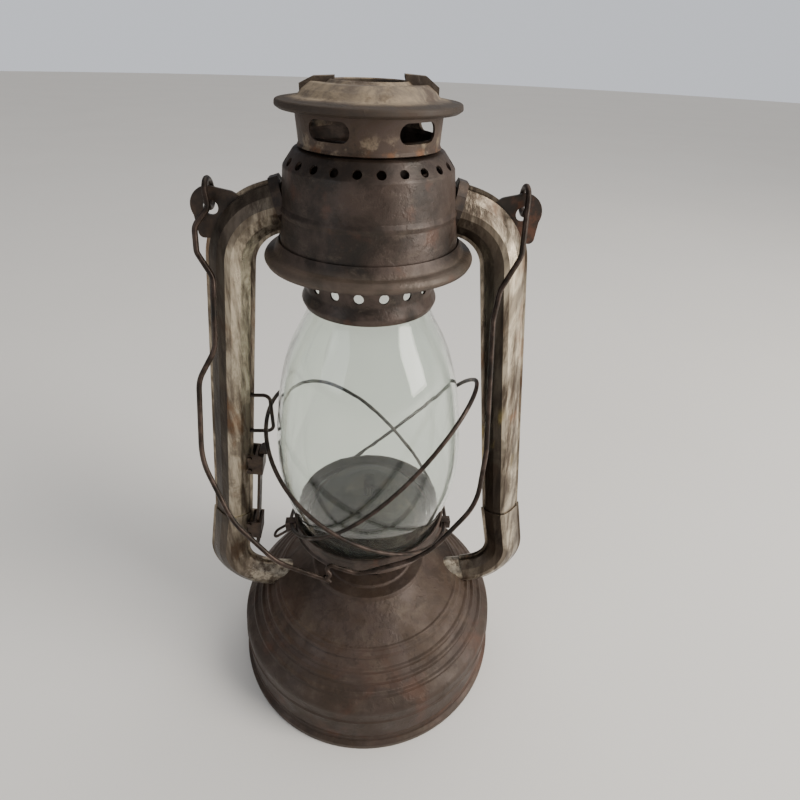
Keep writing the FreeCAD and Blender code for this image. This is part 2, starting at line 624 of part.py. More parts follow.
def guard_clips():
    """Two small clips that tie the hoops' low sides to the gallery."""
    clips = []
    for side, ring_x, ring_z in ((1, 38.0, 95.6), (-1, 38.4, 95.8)):
        loop = [(35.6, ring_z - 2.2), (ring_x + 2.2, ring_z - 2.2), (ring_x + 2.2, ring_z + 2.2),
                (35.6, ring_z + 2.2)]
        outer = Part.Face(Part.makePolygon([Vector(x, -11, z) for x, z in loop + loop[:1]]))
        block = outer.extrude(Vector(0, 4, 0))
        clips.append(block if side > 0 else mirrored(block))
    cutters = [left_guard_ring(), right_guard_ring(), globe_plate()]
    return Part.makeCompound([clip.cut(cutters) for clip in clips])


# ---- globe lift ----------------------------------------------------------------------
def along_tube(shape, centre_z, inward):
    """Place a shape made upright on the origin beside the left tube's inner side.

    Its +X faces the globe, its +Z runs up the tube, and inward is its distance from the
    tube's centre line.
    """
    x, z = point_on_tube(centre_z)
    copy = shape.copy()
    copy.translate(Vector(inward, 0, 0))
    copy.rotate(ORIGIN, Vector(0, 1, 0), SPLAY)
    copy.translate(Vector(-x, 0, z))
    return copy


def lift_strip():
    """Flat sliding strip, bent over at its top for the finger."""
    half = STRIP_WIDTH / 2
    length = STRIP_HIGH_Z - STRIP_LOW_Z
    path = rounded_edges([(Vector(0, 0, 0), 0), (Vector(0, 0, length), 1.6), (Vector(FINGER_TAB, 0, length), 0)])
    section = Part.makePolygon([Vector(s * STRIP_SHEET / 2, d, 0) for s, d in
                                ((-1, -half), (1, -half), (1, half), (-1, half), (-1, -half))])
    sweep = Part.BRepOffsetAPI.MakePipeShell(Part.Wire(path))
    sweep.setBiNormalMode(Vector(0, 1, 0))
    sweep.add(section)
    sweep.build()
    sweep.makeSolid()
    hole = rod(Vector(-3, 0, 22), Vector(3, 0, 22), 1.3)
    return along_tube(sweep.shape().cut(hole), STRIP_LOW_Z, STRIP_INWARD)


def lift_bracket(centre_z, height):
    """Folded guide that holds the strip against the tube."""
    slot_x, slot_y = STRIP_SHEET / 2 + 0.3, STRIP_WIDTH / 2 + 0.3
    reach = STRIP_INWARD - TUBE_HALF_WIDTH
    outer = box((-reach, -slot_y - 1.0, -height / 2), (slot_x + 1.0, slot_y + 1.0, height / 2))
    hollow = box((-reach - 1, -slot_y, -height), (slot_x, slot_y, height))
    guide = outer.cut(hollow)
    back = box((-slot_x - 1.0, -slot_y, -height / 2), (-slot_x, slot_y, height / 2))
    guide = along_tube(guide.fuse(back).removeSplitter(), centre_z, STRIP_INWARD)
    return guide.cut(mirrored(tube_sweep(tube_line(), tube_section())))


def lift_rivets():
    """Two small rivet heads on each bracket's face."""
    heads = []
    for centre_z in (UPPER_BRACKET_Z, LOWER_BRACKET_Z):
        for up in (-3.6, 3.6):
            for side in (-1, 1):
                y = side * (STRIP_WIDTH / 2 + 1.3)
                head = Part.makeCylinder(1.2, 0.7, Vector(-4.2, y, up), Vector(0, side, 0))
                heads.append(along_tube(head, centre_z, STRIP_INWARD))
    return Part.makeCompound(heads)


def lift_link():
    """Wire eye under the gallery's edge that the strip hooks into."""
    top = GALLERY_BOTTOM_Z - LINK_WIRE_R
    return wire_through([(-35.5, -8.0, top, 0), (-37.5, -8.0, top, 2), (-47.5, -8.0, LINK_LOW_Z, 2.2),
                         (-47.5, -3.5, LINK_LOW_Z, 2.2), (-37.5, -3.5, top, 2), (-35.5, -3.5, top, 0)],
                        LINK_WIRE_R)


def guard_staple():
    """Wire staple on the left tube that guides the left hoop's high side."""
    low, high = point_on_tube(STAPLE_LOW_Z), point_on_tube(STAPLE_HIGH_Z)
    reach = TUBE_HALF_WIDTH * 0.8
    staple = wire_through([(low[0] - reach, -1, STAPLE_LOW_Z, 0), (STAPLE_X, -1, STAPLE_LOW_Z, 3),
                           (STAPLE_X, -1, STAPLE_HIGH_Z, 3), (high[0] - reach, -1, STAPLE_HIGH_Z, 0)],
                          STAPLE_WIRE_R)
    return mirrored(staple.cut(tube_sweep(tube_line(), tube_section())))


# ---- burner --------------------------------------------------------------------------
def burner_body():
    """Screw base and wheel housing of the burner."""
    bore = 9.4
    body = turned([(bore, 56.0, 0), (COLLAR_R - 1.22, 56.0, 0), (COLLAR_R - 1.22, COLLAR_TOP_Z + 0.02, 0),
                   (15.0, COLLAR_TOP_Z + 0.02, 0.3), (15.0, COLLAR_TOP_Z + 1.6, 0.5),
                   (10.4, COLLAR_TOP_Z + 1.6, 0.5), (10.4, 84.0, 0.6), (0, 84.0, 0), (0, 83.2, 0),
                   (bore, 83.2, 0)])
    spindle_hole = rod(Vector(SPINDLE_X, -14, SPINDLE_Z), Vector(SPINDLE_X, 14, SPINDLE_Z),
                       SPINDLE_R + 0.05)
    return body.cut([spindle_hole, wick_tube_blank()])


def wick_tube_blank():
    return box((-WICK_THICK / 2 - 1.0, -WICK_WIDTH / 2 - 1.0, 60.0),
               (WICK_THICK / 2 + 1.0, WICK_WIDTH / 2 + 1.0, 104.5))


def wick_tube():
    """Flat tube that guides the wick, with a window for the toothed wheels."""
    bore = box((-WICK_THICK / 2 - 0.4, -WICK_WIDTH / 2 - 0.4, 59.0),
               (WICK_THICK / 2 + 0.4, WICK_WIDTH / 2 + 0.4, 106.0))
    window = box((0, -WICK_WIDTH / 2 - 2, SPINDLE_Z - 4.5), (5, WICK_WIDTH / 2 + 2, SPINDLE_Z + 4.5))
    return wick_tube_blank().cut([bore, window])


def burner_plate():
    """Perforated air plate between the burner and the gallery."""
    plate = turned_sheet([(29.8, 96.6, 0), (19.6, 96.6, 1.6), (10.45, 85.0, 0)], -THIN_SHEET)
    hole = rod(Vector(27.4, 0, 90), Vector(27.4, 0, 100), 1.0)
    vents = radial_pegs(15.0, 90.8, 3, 1.0, 20, 0, tilt=-38)
    return plate.cut(Part.makeCompound(ring_of(hole, PLATE_HOLES) + vents))


def burner_cone():
    """Domed deflector with the flame slot over the wick."""
    foot = 96.6 + 2 * THIN_SHEET + 0.02
    cone = turned_sheet([(CONE_R, foot, 0), (CONE_R - 1.6, foot, 0.6), (CONE_R - 4.0, foot + 6.5, 6),
                         (11.0, CONE_TOP_Z, 10), (0, CONE_TOP_Z, 0)], THIN_SHEET)
    slot = box((-2.6, -7.6, 100), (2.6, 7.6, CONE_TOP_Z + 2))
    return cone.cut(slot)


def wick():
    return box((-WICK_THICK / 2, -WICK_WIDTH / 2, 10.0), (WICK_THICK / 2, WICK_WIDTH / 2, 105.5))


def wick_spindle():
    return rod(Vector(SPINDLE_X, -11.6, SPINDLE_Z), Vector(SPINDLE_X, KNOB_Y + 1.0, SPINDLE_Z), SPINDLE_R)


def wick_wheels():
    """Two toothed wheels that feed the wick."""
    wheels = []
    for y in (-3.6, 2.4):
        wheel = Part.makeCylinder(2.6, 1.2, Vector(SPINDLE_X, y, SPINDLE_Z), Vector(0, 1, 0))
        teeth = []
        for i in range(12):
            tooth = box((2.3, y, -0.35), (3.1, y + 1.2, 0.35))
            tooth.rotate(ORIGIN, Vector(0, 1, 0), 30 * i + 15)
            tooth.translate(Vector(SPINDLE_X, 0, SPINDLE_Z))
            teeth.append(tooth)
        wheels.append(wheel.fuse(teeth).removeSplitter().cut(wick_spindle()))
    return Part.makeCompound(wheels)


def wick_knob():
    """Milled thumb wheel on the spindle's outer end."""
    wheel = Part.makeCylinder(KNOB_R, 2.6, Vector(SPINDLE_X, KNOB_Y - 2.6, SPINDLE_Z), Vector(0, 1, 0))
    notches = []
    for i in range(20):
        notch = rod(Vector(KNOB_R + 0.5, KNOB_Y - 4, 0), Vector(KNOB_R + 0.5, KNOB_Y + 1, 0), 1.0)
        notch.rotate(ORIGIN, Vector(0, 1, 0), 18 * i)
        notch.translate(Vector(SPINDLE_X, 0, SPINDLE_Z))
        notches.append(notch)
    return wheel.cut(notches).cut(wick_spindle())


# ---- bail ----------------------------------------------------------------------------
def bail():
    """Hand-bent carrying wire with an eye at each end, hanging in front of the lantern.

    It is drawn hanging plumb, as (X, distance below the ears), and then leaned forward.
    """
    eye_gap = math.radians(30)
    middle = [(-54.0, 5.0, 4), (-59.2, 11.0, 5), (-59.2, 19.5, 4), (-54.3, 28.0, 6), (-55.6, 53.0, 12),
              (-62.6, 65.0, 14), (-64.4, 97.0, 34), (-54.5, 124.0, 30), (-38.0, 143.0, 26), (-17.1, 152.0, 6),
              (-8.3, 161.2, 1.4), (-20.2, 143.0, 1.8), (-4.0, 149.4, 10), (24.0, 141.0, 34),
              (44.0, 117.0, 26), (46.4, 94.0, 20), (45.4, 42.0, 16), (47.2, 31.0, 8), (54.0, 19.0, 8)]
    front = -BAIL_EYE_R
    left_eye = eye_arc(-EAR_X, eye_gap)
    right_eye = eye_arc(EAR_X, eye_gap)
    right_eye.reverse()
    corners = [(Vector(-EAR_X, front, 0), 0)]
    corners += [(Vector(x, front, -down), r) for x, down, r in middle]
    corners += [(Vector(EAR_X, front, 0), 0)]
    path = [left_eye] + rounded_edges(corners) + [right_eye]
    start = left_eye.Vertexes[0].Point
    heading = left_eye.tangentAt(left_eye.FirstParameter)
    section = Part.Wire(Part.makeCircle(BAIL_WIRE_R, start, heading))
    hanging = Part.Wire(path).makePipeShell([section], True, False)
    hanging.rotate(ORIGIN, Vector(1, 0, 0), -BAIL_LEAN)
    hanging.translate(Vector(0, 0, BAIL_AXIS_Z))
    return hanging


def eye_arc(x, gap):
    """Most of a circle round the ear's upper edge, ending where the wire leaves it."""
    def at(angle):
        return Vector(x, BAIL_EYE_R * math.cos(angle), BAIL_EYE_R * math.sin(angle))
    leave = math.pi
    return Part.Arc(at(leave - 2 * math.pi + gap), at(leave - math.pi + gap / 2), at(leave)).toShape()


# ---- assembly ------------------------------------------------------------------------
def pair(shape):
    return Part.makeCompound([shape, mirrored(shape)])


def all_nodes():
    right_tube, right_elbow, right_ear = air_tube(), elbow(), ear()
    dome = air_dome().cut(pair(foot_pipe_blank(FOOT_PIPE_R)))
    shell = tank_shell().cut(pair(foot_pipe_blank(FOOT_PIPE_R)))
    brackets = [lift_bracket(UPPER_BRACKET_Z, UPPER_BRACKET_HEIGHT),
                lift_bracket(LOWER_BRACKET_Z, LOWER_BRACKET_HEIGHT)]
    return {
        "tank_shell": shell, "tank_base": tank_base(), "fuel_deck": fuel_deck(), "air_dome": dome,
        "burner_collar": burner_collar(), "filler_neck": filler_neck(),
        "filler_gasket": filler_gasket(), "filler_cap": filler_cap(),
        "right_air_tube": right_tube, "left_air_tube": mirrored(right_tube),
        "right_elbow": right_elbow, "left_elbow": mirrored(right_elbow), "foot_pipes": pair(foot_pipe()),
        "right_ear": right_ear, "left_ear": mirrored(right_ear), "tube_sockets": pair(tube_socket()),
        "air_chamber": air_chamber(), "chamber_skirt": chamber_skirt(), "hood_band": hood_band(),
        "hood_crown": hood_crown(), "hood_lugs": hood_lugs(), "chimney_tube": chimney_tube(),
        "globe_cap": globe_cap(), "hood_spring": hood_spring(), "globe": globe(),
        "globe_plate": globe_plate(), "left_guard_ring": left_guard_ring(),
        "right_guard_ring": right_guard_ring(), "guard_clips": guard_clips(),
        "guard_staple": guard_staple(), "lift_link": lift_link(), "lift_strip": lift_strip(),
        "lift_brackets": Part.makeCompound(brackets),
        "lift_rivets": lift_rivets(), "burner_body": burner_body(), "burner_plate": burner_plate(),
        "burner_cone": burner_cone(), "wick_tube": wick_tube(), "wick": wick(),
        "wick_spindle": wick_spindle(), "wick_wheels": wick_wheels(), "wick_knob": wick_knob(),
        "bail": bail(),
    }


for name, shape in all_nodes().items():
    shape.exportStep("parts/%s.step" % name)
    print("%-18s valid %s, %d solid(s), %.0f mm3" % (name, shape.isValid(), len(shape.Solids), shape.Volume))
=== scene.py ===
"""Looks of the tubular hurricane lantern: finishes, studio light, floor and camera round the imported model.

Metres, +Z up. The air tubes stand along X, -Y is the front and the filler is at the back.
"""

import math

import bpy
from mathutils import Euler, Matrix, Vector


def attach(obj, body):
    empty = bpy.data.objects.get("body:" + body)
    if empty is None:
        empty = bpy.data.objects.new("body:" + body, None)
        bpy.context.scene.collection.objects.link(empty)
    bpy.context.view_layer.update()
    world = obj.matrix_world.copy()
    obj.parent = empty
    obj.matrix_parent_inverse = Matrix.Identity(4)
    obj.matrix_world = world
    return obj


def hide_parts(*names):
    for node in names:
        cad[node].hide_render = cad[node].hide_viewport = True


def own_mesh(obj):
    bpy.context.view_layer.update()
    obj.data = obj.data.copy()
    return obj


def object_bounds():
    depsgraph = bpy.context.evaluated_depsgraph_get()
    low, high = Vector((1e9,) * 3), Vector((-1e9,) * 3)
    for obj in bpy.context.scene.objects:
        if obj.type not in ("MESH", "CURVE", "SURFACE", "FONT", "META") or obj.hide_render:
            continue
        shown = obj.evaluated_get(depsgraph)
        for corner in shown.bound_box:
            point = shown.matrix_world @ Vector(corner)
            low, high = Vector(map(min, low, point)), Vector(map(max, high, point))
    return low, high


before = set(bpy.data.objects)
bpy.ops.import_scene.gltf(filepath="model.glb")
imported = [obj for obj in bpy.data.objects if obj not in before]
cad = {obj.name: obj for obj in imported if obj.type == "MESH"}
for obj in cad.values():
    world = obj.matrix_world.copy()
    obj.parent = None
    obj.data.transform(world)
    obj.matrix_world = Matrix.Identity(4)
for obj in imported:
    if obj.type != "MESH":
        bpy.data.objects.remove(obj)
cad_box = [list(corner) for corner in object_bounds()]

# ---- camera, light and floor ---------------------------------------------------------
CAMERA_AT = (0.0002, -0.1908, 0.2921)
CAMERA_TILT = 55.98        # degrees up from straight down
CAMERA_TURN = -4.0
CAMERA_ROLL = 2.36
LENS, SENSOR = 23.625, 36.0

FLOOR_RADIUS = 6.0
FLOOR_COLOUR = (0.82, 0.80, 0.765)
SKY_COLOUR = (0.90, 0.93, 1.0)
SKY_LEFT, SKY_RIGHT = 0.17, 0.46     # strength of the room's light from either side
SKY_SEEN = 0.80                      # and as seen behind the lantern
SKY_REACH = 0.8                      # how far to either side it changes; 1 is fully sideways
LIGHTS_FACE = (0.0, 0.0, 0.15)       # middle of the lantern
WINDOW_AT, WINDOW_SIZE, WINDOW_WATTS = (1.12, -0.48, 0.75), (0.6, 1.4), 27.0
WINDOW_COLOUR = (1.0, 0.95, 0.88)
FILL_AT, FILL_SIZE, FILL_WATTS = (-1.1, -0.9, 0.7), (0.9, 0.9), 4.0
FILL_COLOUR = (0.92, 0.95, 1.0)
TOP_FROM, TOP_STRENGTH = (0.25, 0.45, 1.3), 1.2     # the direction it comes from
TOP_SPREAD = 60.0                                   # degrees

# ---- where the marks begin and end, metres -------------------------------------------
# Each pair is a height where a mark isn't seen yet and one where it is seen fully, except for
# the last three, which say what they are.
SEAM_RUBBED = (0.0035, 0.0008)
TANK_WALL = (0.046, 0.036)
TANK_REDDENED = (0.070, 0.020)
SKIRT_BELOW, SKIRT_ABOVE = (0.2335, 0.2305), (0.2272, 0.2282)
DRUM = (0.2335, 0.2365)
BRIM = (0.2785, 0.2779)
BAND_WORN = (0.2725, 0.2665)
BAND_FOOT = (0.2672, 0.2648)
TUBE_BEND = (0.212, 0.236)
TUBE_FOOT = (0.125, 0.060)
ELBOW_UNDERSIDE = (0.062, 0.055)
GLOBE_MOUTH = (0.200, 0.216)
WICK_CHARRED = (0.104, 0.110)
RIGHT_PAINT = (0.120, 0.165)         # lowest and highest yellow paint on the right tube
LEFT_BARE = (0.042, 0.068)           # nearest and farthest bare metal from the middle
NOWHERE = (1.0, 1.1)                 # outside the lantern

# ---- colours, linear -----------------------------------------------------------------
# The two darkest colours serve for real soot and rust, and also for the painted shade on the tank's lower
# wall, the tubes' flanks and the crown's downward faces.
SOOT_AND_SHADE = (0.009, 0.007, 0.005)
DARK_RUST_AND_SHADE = (0.023, 0.014, 0.009)
BROWN_RUST = (0.055, 0.033, 0.020)
PURPLE_RUST = (0.066, 0.044, 0.034)
RED_RUST = (0.095, 0.038, 0.020)
ORANGE_RUST = (0.20, 0.085, 0.030)
GREY_DUST = (0.142, 0.110, 0.080)
PALE_CRUST = (0.29, 0.225, 0.150)
TIN = (0.58, 0.50, 0.38)
BARE_METAL = (0.46, 0.40, 0.31)
YELLOW_STAIN = (0.30, 0.23, 0.07)
GREEN_SOOT = (0.019, 0.018, 0.012)
OLD_BRASS = (0.20, 0.15, 0.07)
COTTON = (0.62, 0.55, 0.42)
CORK = (0.30, 0.19, 0.11)
WHITE_SPECK = (0.45, 0.41, 0.35)
GLASS_TINT = (0.93, 0.985, 0.94)
SOOTY_GLASS = (0.45, 0.46, 0.38)


class Finish:
    """One material in the making, with short names for the steps that several finishes share."""

    def __init__(self, name, metallic=0.0, roughness=0.6):
        self.material = bpy.data.materials.new(name)
        self.material.use_nodes = True
        self.tree = self.material.node_tree
        self.shader = self.tree.nodes["Principled BSDF"]
        self.shader.inputs["Metallic"].default_value = metallic
        self.shader.inputs["Roughness"].default_value = roughness
        coordinates = self.add("ShaderNodeTexCoord")
        self.place = coordinates.outputs["Object"]
        self.facing = coordinates.outputs["Normal"]
        self.relief = None

    def add(self, kind, **settings):
        node = self.tree.nodes.new(kind)
        for key, value in settings.items():
            setattr(node, key, value)
        return node

    def feed(self, socket, value):
        """Links a socket, or sets a number or a colour."""
        if isinstance(value, bpy.types.NodeSocket):
            self.tree.links.new(value, socket)
        elif hasattr(value, "__len__") and socket.type == "RGBA":
            socket.default_value = (*value, 1.0)
        else:
            socket.default_value = value

    def scaled_place(self, size, stretch, shift):
        mapping = self.add("ShaderNodeMapping")
        self.feed(mapping.inputs["Vector"], self.place)
        mapping.inputs["Location"].default_value = (shift, shift * 1.7, shift * 0.6)
        mapping.inputs["Scale"].default_value = [1.0 / (size * s) for s in stretch]
        return mapping.outputs["Vector"]

    def clouds(self, size, detail=4.0, grain=0.55, stretch=(1, 1, 1), shift=0.0, swirl=0.0):
        """Cloudy value from 0 to 1, in patches of about that size in metres."""
        noise = self.add("ShaderNodeTexNoise")
        self.feed(noise.inputs["Vector"], self.scaled_place(size, stretch, shift))
        noise.inputs["Scale"].default_value = 1.0
        noise.inputs["Detail"].default_value = detail
        noise.inputs["Roughness"].default_value = grain
        noise.inputs["Distortion"].default_value = swirl
        return noise.outputs["Fac"]

    def cells(self, size, shift=0.0):
        """Distance from the middle of the nearest cell, with cells of about that size."""
        cells = self.add("ShaderNodeTexVoronoi")
        self.feed(cells.inputs["Vector"], self.scaled_place(size, (1, 1, 1), shift))
        cells.inputs["Scale"].default_value = 1.0
        return cells.outputs["Distance"]

    def between(self, value, low, high):
        """0 before low, 1 past high, and smooth in between. High may be the smaller one."""
        step = self.add("ShaderNodeMapRange", interpolation_type="SMOOTHSTEP")
        flipped = low > high
        self.feed(step.inputs["Value"], value)
        step.inputs["From Min"].default_value = min(low, high)
        step.inputs["From Max"].default_value = max(low, high)
        step.inputs["To Min"].default_value = 1.0 if flipped else 0.0
        step.inputs["To Max"].default_value = 0.0 if flipped else 1.0
        return step.outputs["Result"]

    def calc(self, operation, first, second=0.0):
        node = self.add("ShaderNodeMath", operation=operation)
        self.feed(node.inputs[0], first)
        self.feed(node.inputs[1], second)
        return node.outputs["Value"]

    def times(self, *values):
        product = values[0]
        for value in values[1:]:
            product = self.calc("MULTIPLY", product, value)
        return product

    def axis(self, vector, name):
        split = self.add("ShaderNodeSeparateXYZ")
        self.feed(split.inputs["Vector"], vector)
        return split.outputs[name]

    def height(self):
        return self.axis(self.place, "Z")

    def at_height(self, mark):
        """1 where a mark is seen fully and 0 where it isn't seen yet."""
        return self.between(self.height(), *mark)

    def mix(self, share, first, second):
        node = self.add("ShaderNodeMix", data_type="RGBA")
        self.feed(node.inputs[0], share)
        self.feed(node.inputs[6], first)
        self.feed(node.inputs[7], second)
        return node.outputs[2]

    def ramp(self, value, stops):
        """Colours along a value, from a list of (place, colour)."""
        node = self.add("ShaderNodeValToRGB")
        self.feed(node.inputs["Fac"], value)
        elements = node.color_ramp.elements
        while len(elements) < len(stops):
            elements.new(0.5)
        for element, (place, colour) in zip(elements, stops):
            element.position = place
            element.color = (*colour, 1.0)
        return node.outputs["Color"]

    def bump(self, value, depth):
        """Adds relief of that depth in metres to what is there already."""
        node = self.add("ShaderNodeBump")
        node.inputs["Strength"].default_value = 1.0
        node.inputs["Distance"].default_value = depth
        self.feed(node.inputs["Height"], value)
        if self.relief is not None:
            self.feed(node.inputs["Normal"], self.relief)
        self.relief = node.outputs["Normal"]

    def vary(self, name, value, low, high):
        """Feeds one shader input with a value spread from low to high."""
        spread = self.add("ShaderNodeMapRange")
        self.feed(spread.inputs["Value"], value)
        spread.inputs["From Min"].default_value = 0.3
        spread.inputs["From Max"].default_value = 0.7
        spread.inputs["To Min"].default_value = low
        spread.inputs["To Max"].default_value = high
        self.feed(self.shader.inputs[name], spread.outputs["Result"])

    def specks(self, spacing, size, seed, share):
        """Small spots, on about that share of a grid of loose places."""
        spots = self.between(self.cells(spacing, shift=seed), size / spacing, size / spacing * 0.6)
        chosen = self.between(self.clouds(spacing * 3.1, detail=1.0, shift=seed + 5), 1 - share, 1.05 - share)
        return self.times(spots, chosen)

    def done(self, colour):
        self.feed(self.shader.inputs["Base Color"], colour)
        if self.relief is not None:
            self.feed(self.shader.inputs["Normal"], self.relief)
        return self.material


def upward(finish):
    """How far a face looks up, where dust settles."""
    return finish.between(finish.axis(finish.facing, "Z"), 0.3, 0.95)


def dents_and_pits(finish, dent=0.0008, pit=0.00012):
    """The slow waves of knocked sheet and the fine pits that rust leaves."""
    finish.bump(finish.clouds(0.040, detail=1.5, shift=11.0), dent)
    finish.bump(finish.clouds(0.0022, detail=5.0, grain=0.7, shift=3.0), pit)
    scabs = finish.between(finish.clouds(0.009, detail=4.0, grain=0.65, shift=8.0), 0.50, 0.60)
    finish.bump(scabs, pit * 0.7)
    return scabs


# ---- finishes of the sheet metal -----------------------------------------------------
def tank_rust():
    """Tank: dark brown rust with purple-grey and red patches, a little dust on its shoulder, and painted
    shade on its lower wall.
    """
    f = Finish("tank_rust", metallic=0.3)
    patches = f.clouds(0.030, detail=8.0, grain=0.62, swirl=0.4)
    colour = f.ramp(patches, [(0.28, DARK_RUST_AND_SHADE), (0.44, BROWN_RUST), (0.58, PURPLE_RUST), (0.74, BROWN_RUST)])
    # painted shade: the lower wall under the shoulder is darkened towards dark rust
    painted_shade_wall = f.at_height(TANK_WALL)
    colour = f.mix(f.times(painted_shade_wall, 0.4), colour, DARK_RUST_AND_SHADE)
    red = f.times(f.between(f.clouds(0.024, detail=7.0, shift=4.0, swirl=0.6), 0.50, 0.68),
                  f.at_height(TANK_REDDENED))
    colour = f.mix(f.times(red, 0.55), colour, RED_RUST)
    dust = f.times(upward(f), f.between(f.clouds(0.014, detail=8.0, grain=0.72, shift=7.0), 0.46, 0.74))
    colour = f.mix(f.times(dust, 0.45), colour, GREY_DUST)
    runs = f.between(f.clouds(0.004, detail=5.0, stretch=(1, 1, 7), shift=2.0), 0.55, 0.74)
    colour = f.mix(f.times(runs, 0.4), colour, DARK_RUST_AND_SHADE)
    scabs = dents_and_pits(f)
    colour = f.mix(f.times(scabs, 0.3), colour, DARK_RUST_AND_SHADE)
    rubbed = f.times(f.at_height(SEAM_RUBBED), f.clouds(0.006, detail=4.0, shift=15.0))
    colour = f.mix(f.times(rubbed, 0.6), colour, GREY_DUST)
    colour = f.mix(f.specks(0.009, 0.0005, 21.0, share=0.3), colour, WHITE_SPECK)
    f.vary("Roughness", f.clouds(0.012, detail=5.0, shift=9.0), 0.46, 0.72)
    return f.done(colour)


def chamber_rust():
    """Air chamber, skirt, globe cap and globe plate: purple-brown rust, rubbed to grey-brown in places."""
    f = Finish("chamber_rust", metallic=0.3)
    patches = f.clouds(0.017, detail=8.0, grain=0.64, swirl=0.4, shift=1.0)
    colour = f.ramp(patches, [(0.28, SOOT_AND_SHADE), (0.42, DARK_RUST_AND_SHADE), (0.56, PURPLE_RUST), (0.74, BROWN_RUST)])
    rubbed = f.between(f.clouds(0.008, detail=8.0, grain=0.74, stretch=(1, 1, 0.5), shift=6.0), 0.52, 0.72)
    colour = f.mix(f.times(rubbed, 0.45), colour, GREY_DUST)
    lip = f.times(f.at_height(SKIRT_BELOW), f.at_height(SKIRT_ABOVE))
    colour = f.mix(f.times(lip, 0.3), colour, GREY_DUST)
    drum = f.at_height(DRUM)
    colour = f.mix(f.times(drum, 0.3), colour, DARK_RUST_AND_SHADE)
    red = f.between(f.clouds(0.011, detail=6.0, shift=14.0), 0.60, 0.72)
    colour = f.mix(f.times(red, 0.4), colour, RED_RUST)
    dents_and_pits(f, dent=0.0006, pit=0.0001)
    colour = f.mix(f.specks(0.008, 0.0005, 31.0, share=0.3), colour, WHITE_SPECK)
    f.vary("Roughness", f.clouds(0.010, detail=5.0, shift=9.0), 0.36, 0.64)
    return f.done(colour)


def crown_crust():
    """Hood crown and its tabs: beige crust worn through to brown, with a dark rolled brim and painted shade
    on the faces that look down.
    """
    f = Finish("crown_crust", metallic=0.15)
    patches = f.clouds(0.010, detail=8.0, grain=0.68, swirl=0.6, shift=3.0)
    colour = f.ramp(patches, [(0.32, BROWN_RUST), (0.45, GREY_DUST), (0.60, PALE_CRUST), (0.76, GREY_DUST)])
    stain = f.between(f.clouds(0.007, detail=7.0, grain=0.65, shift=12.0), 0.50, 0.64)
    colour = f.mix(f.times(stain, 0.6), colour, BROWN_RUST)
    rim = f.at_height(BRIM)
    colour = f.mix(f.times(rim, 0.95), colour, f.mix(patches, SOOT_AND_SHADE, BROWN_RUST))
    # painted shade: faces that look down are darkened
    painted_shade_below = f.between(f.axis(f.facing, "Z"), 0.25, -0.05)
    colour = f.mix(f.times(painted_shade_below, 0.85), colour, f.mix(patches, SOOT_AND_SHADE, BROWN_RUST))
    dents_and_pits(f, dent=0.0006, pit=0.00014)
    f.vary("Roughness", patches, 0.5, 0.8)
    return f.done(colour)


def band_rust():
    """Hood band: brown, worn to beige below, with small orange stains along its lower joint."""
    f = Finish("band_rust", metallic=0.3)
    patches = f.clouds(0.011, detail=7.0, grain=0.64, swirl=0.5, shift=5.0)
    colour = f.ramp(patches, [(0.30, SOOT_AND_SHADE), (0.44, BROWN_RUST), (0.60, PURPLE_RUST), (0.82, BROWN_RUST)])
    worn = f.times(f.at_height(BAND_WORN),
                   f.between(f.clouds(0.006, detail=7.0, grain=0.7, shift=9.0), 0.48, 0.62))
    colour = f.mix(f.times(worn, 0.6), colour, PALE_CRUST)
    low = f.at_height(BAND_FOOT)
    creep = f.between(f.clouds(0.0045, detail=5.0, shift=2.0), 0.52, 0.66)
    colour = f.mix(f.times(low, creep, 0.6), colour, ORANGE_RUST)
    dents_and_pits(f, dent=0.0005, pit=0.0001)
    f.vary("Roughness", patches, 0.45, 0.7)
    return f.done(colour)


